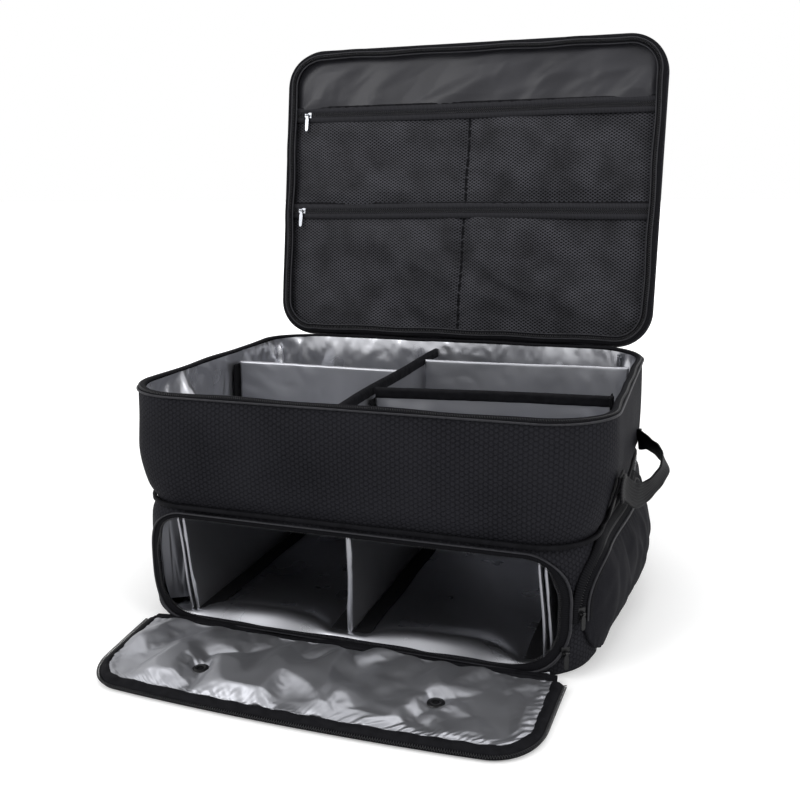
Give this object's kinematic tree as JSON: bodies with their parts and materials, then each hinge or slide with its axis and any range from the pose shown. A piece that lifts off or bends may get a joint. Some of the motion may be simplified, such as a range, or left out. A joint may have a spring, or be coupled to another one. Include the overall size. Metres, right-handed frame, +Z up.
{
  "type": "collapsible golf organizer",
  "caption": "Soft two-tier golf gear organizer: lidded box with foil-lined cells over a zipped shoe compartment with a drop-down flap, mesh lid pockets and webbing side handles.",
  "frame": {"origin": "centre of the case's base, on the surface that it stands on", "axes": "+Z up, +X to the right seen from the front, -Y towards the front, where the shoe flap opens"},
  "size_m": [0.508, 0.5779, 0.5579],
  "materials": {
    "oxford_fabric": "black coated oxford with an embossed honeycomb, matt",
    "silver_film": "silver insulating film, crinkled, satin",
    "webbing_and_tape": "black woven webbing, zip tape and binding, matt",
    "nylon_lining": "black nylon lining, slight sheen",
    "mesh": "black knitted mesh",
    "bright_zinc": "polished plating",
    "black_zinc": "black lacquered zinc"
  },
  "bodies": {
    "case": {"lower_shell": "oxford_fabric", "upper_shell": "oxford_fabric", "side_pocket": "oxford_fabric", "lower_lining": "silver_film", "upper_lining": "silver_film", "base_board": "silver_film", "left_inner_board": "silver_film", "left_outer_board": "silver_film", "centre_board": "silver_film", "right_inner_board": "silver_film", "right_outer_board": "silver_film", "centre_divider": "silver_film", "left_cross_divider": "silver_film", "right_rear_divider": "silver_film", "right_front_divider": "silver_film", "opening_zip_tape": "webbing_and_tape", "left_foot_tape": "webbing_and_tape", "centre_foot_tape_left": "webbing_and_tape", "centre_foot_tape_right": "webbing_and_tape", "right_foot_tape": "webbing_and_tape", "rim_zip_tape": "webbing_and_tape", "rim_piping": "webbing_and_tape", "waist_piping": "webbing_and_tape", "centre_divider_binding": "webbing_and_tape", "right_front_binding": "webbing_and_tape", "left_wall_tape": "webbing_and_tape", "right_wall_rear_tape": "webbing_and_tape", "right_wall_front_tape": "webbing_and_tape", "centre_divider_tape": "webbing_and_tape", "lid_hinge_strip": "webbing_and_tape", "flap_hinge_strip": "webbing_and_tape", "side_zip_tape": "webbing_and_tape", "left_handle": "webbing_and_tape", "left_handle_tail": "webbing_and_tape", "right_handle": "webbing_and_tape", "right_handle_tail": "webbing_and_tape", "lid_zip_slider": "bright_zinc", "opening_zip_slider": "black_zinc", "side_zip_slider": "black_zinc"},
    "lid": {"lid_shell": "oxford_fabric", "lid_lining": "nylon_lining", "lid_nylon_panel": "nylon_lining", "lid_zip_tape": "webbing_and_tape", "mesh_pocket_upper": "mesh", "mesh_pocket_lower": "mesh", "pocket_zip_lower_tape": "webbing_and_tape", "pocket_zip_upper_tape": "webbing_and_tape"},
    "upper_pocket_slider": {"pocket_zip_upper_slider": "bright_zinc"},
    "upper_pocket_puller": {"pocket_zip_upper_puller": "bright_zinc"},
    "lower_pocket_slider": {"pocket_zip_lower_slider": "bright_zinc"},
    "lower_pocket_puller": {"pocket_zip_lower_puller": "bright_zinc"},
    "lid_zip_puller": {"lid_zip_puller": "bright_zinc"},
    "flap": {"front_flap": "oxford_fabric", "flap_lining": "silver_film", "flap_zip_tape": "webbing_and_tape", "flap_eyelet_left": "black_zinc", "flap_eyelet_right": "black_zinc"},
    "opening_zip_puller": {"opening_zip_puller": "black_zinc"},
    "side_zip_puller": {"side_zip_puller": "black_zinc"}
  },
  "joints": [
    {"name": "lid_hinge", "type": "hinge", "parent": "case", "child": "lid", "pos_m": [0, 0.176, 0.2176], "axis": [1, 0, 0], "range_deg": [0, 103]},
    {"name": "flap_hinge", "type": "hinge", "parent": "case", "child": "flap", "pos_m": [0, -0.1905, 0], "axis": [-1, 0, 0], "range_deg": [0, 90]},
    {"name": "upper_pocket_slide", "type": "slide", "parent": "lid", "child": "upper_pocket_slider", "axis": [1, 0, 0], "range_m": [0, 0.4134]},
    {"name": "upper_pocket_puller_swing", "type": "hinge", "parent": "upper_pocket_slider", "child": "upper_pocket_puller", "pos_m": [-0.2077, 0.23889, 0.48111], "axis": [-1, 0, 0], "range_deg": [0, 150]},
    {"name": "lower_pocket_slide", "type": "slide", "parent": "lid", "child": "lower_pocket_slider", "axis": [1, 0, 0], "range_m": [0, 0.4134]},
    {"name": "lower_pocket_puller_swing", "type": "hinge", "parent": "lower_pocket_slider", "child": "lower_pocket_puller", "pos_m": [-0.2077, 0.21212, 0.36516], "axis": [-1, 0, 0], "range_deg": [0, 150]},
    {"name": "lid_zip_puller_swing", "type": "hinge", "parent": "case", "child": "lid_zip_puller", "pos_m": [0.19252, 0.15708, 0.209], "axis": [-0.7604, 0.6494, 0], "range_deg": [0, 120]},
    {"name": "opening_zip_puller_swing", "type": "hinge", "parent": "case", "child": "opening_zip_puller", "pos_m": [0.19197, -0.17599, 0.024], "axis": [-0.8437, -0.5368, 0], "range_deg": [0, 120]},
    {"name": "side_zip_puller_swing", "type": "hinge", "parent": "case", "child": "side_zip_puller", "pos_m": [0.20308, -0.16679, 0.056], "axis": [-0.6997, -0.7144, 0], "range_deg": [0, 120]}
  ]
}
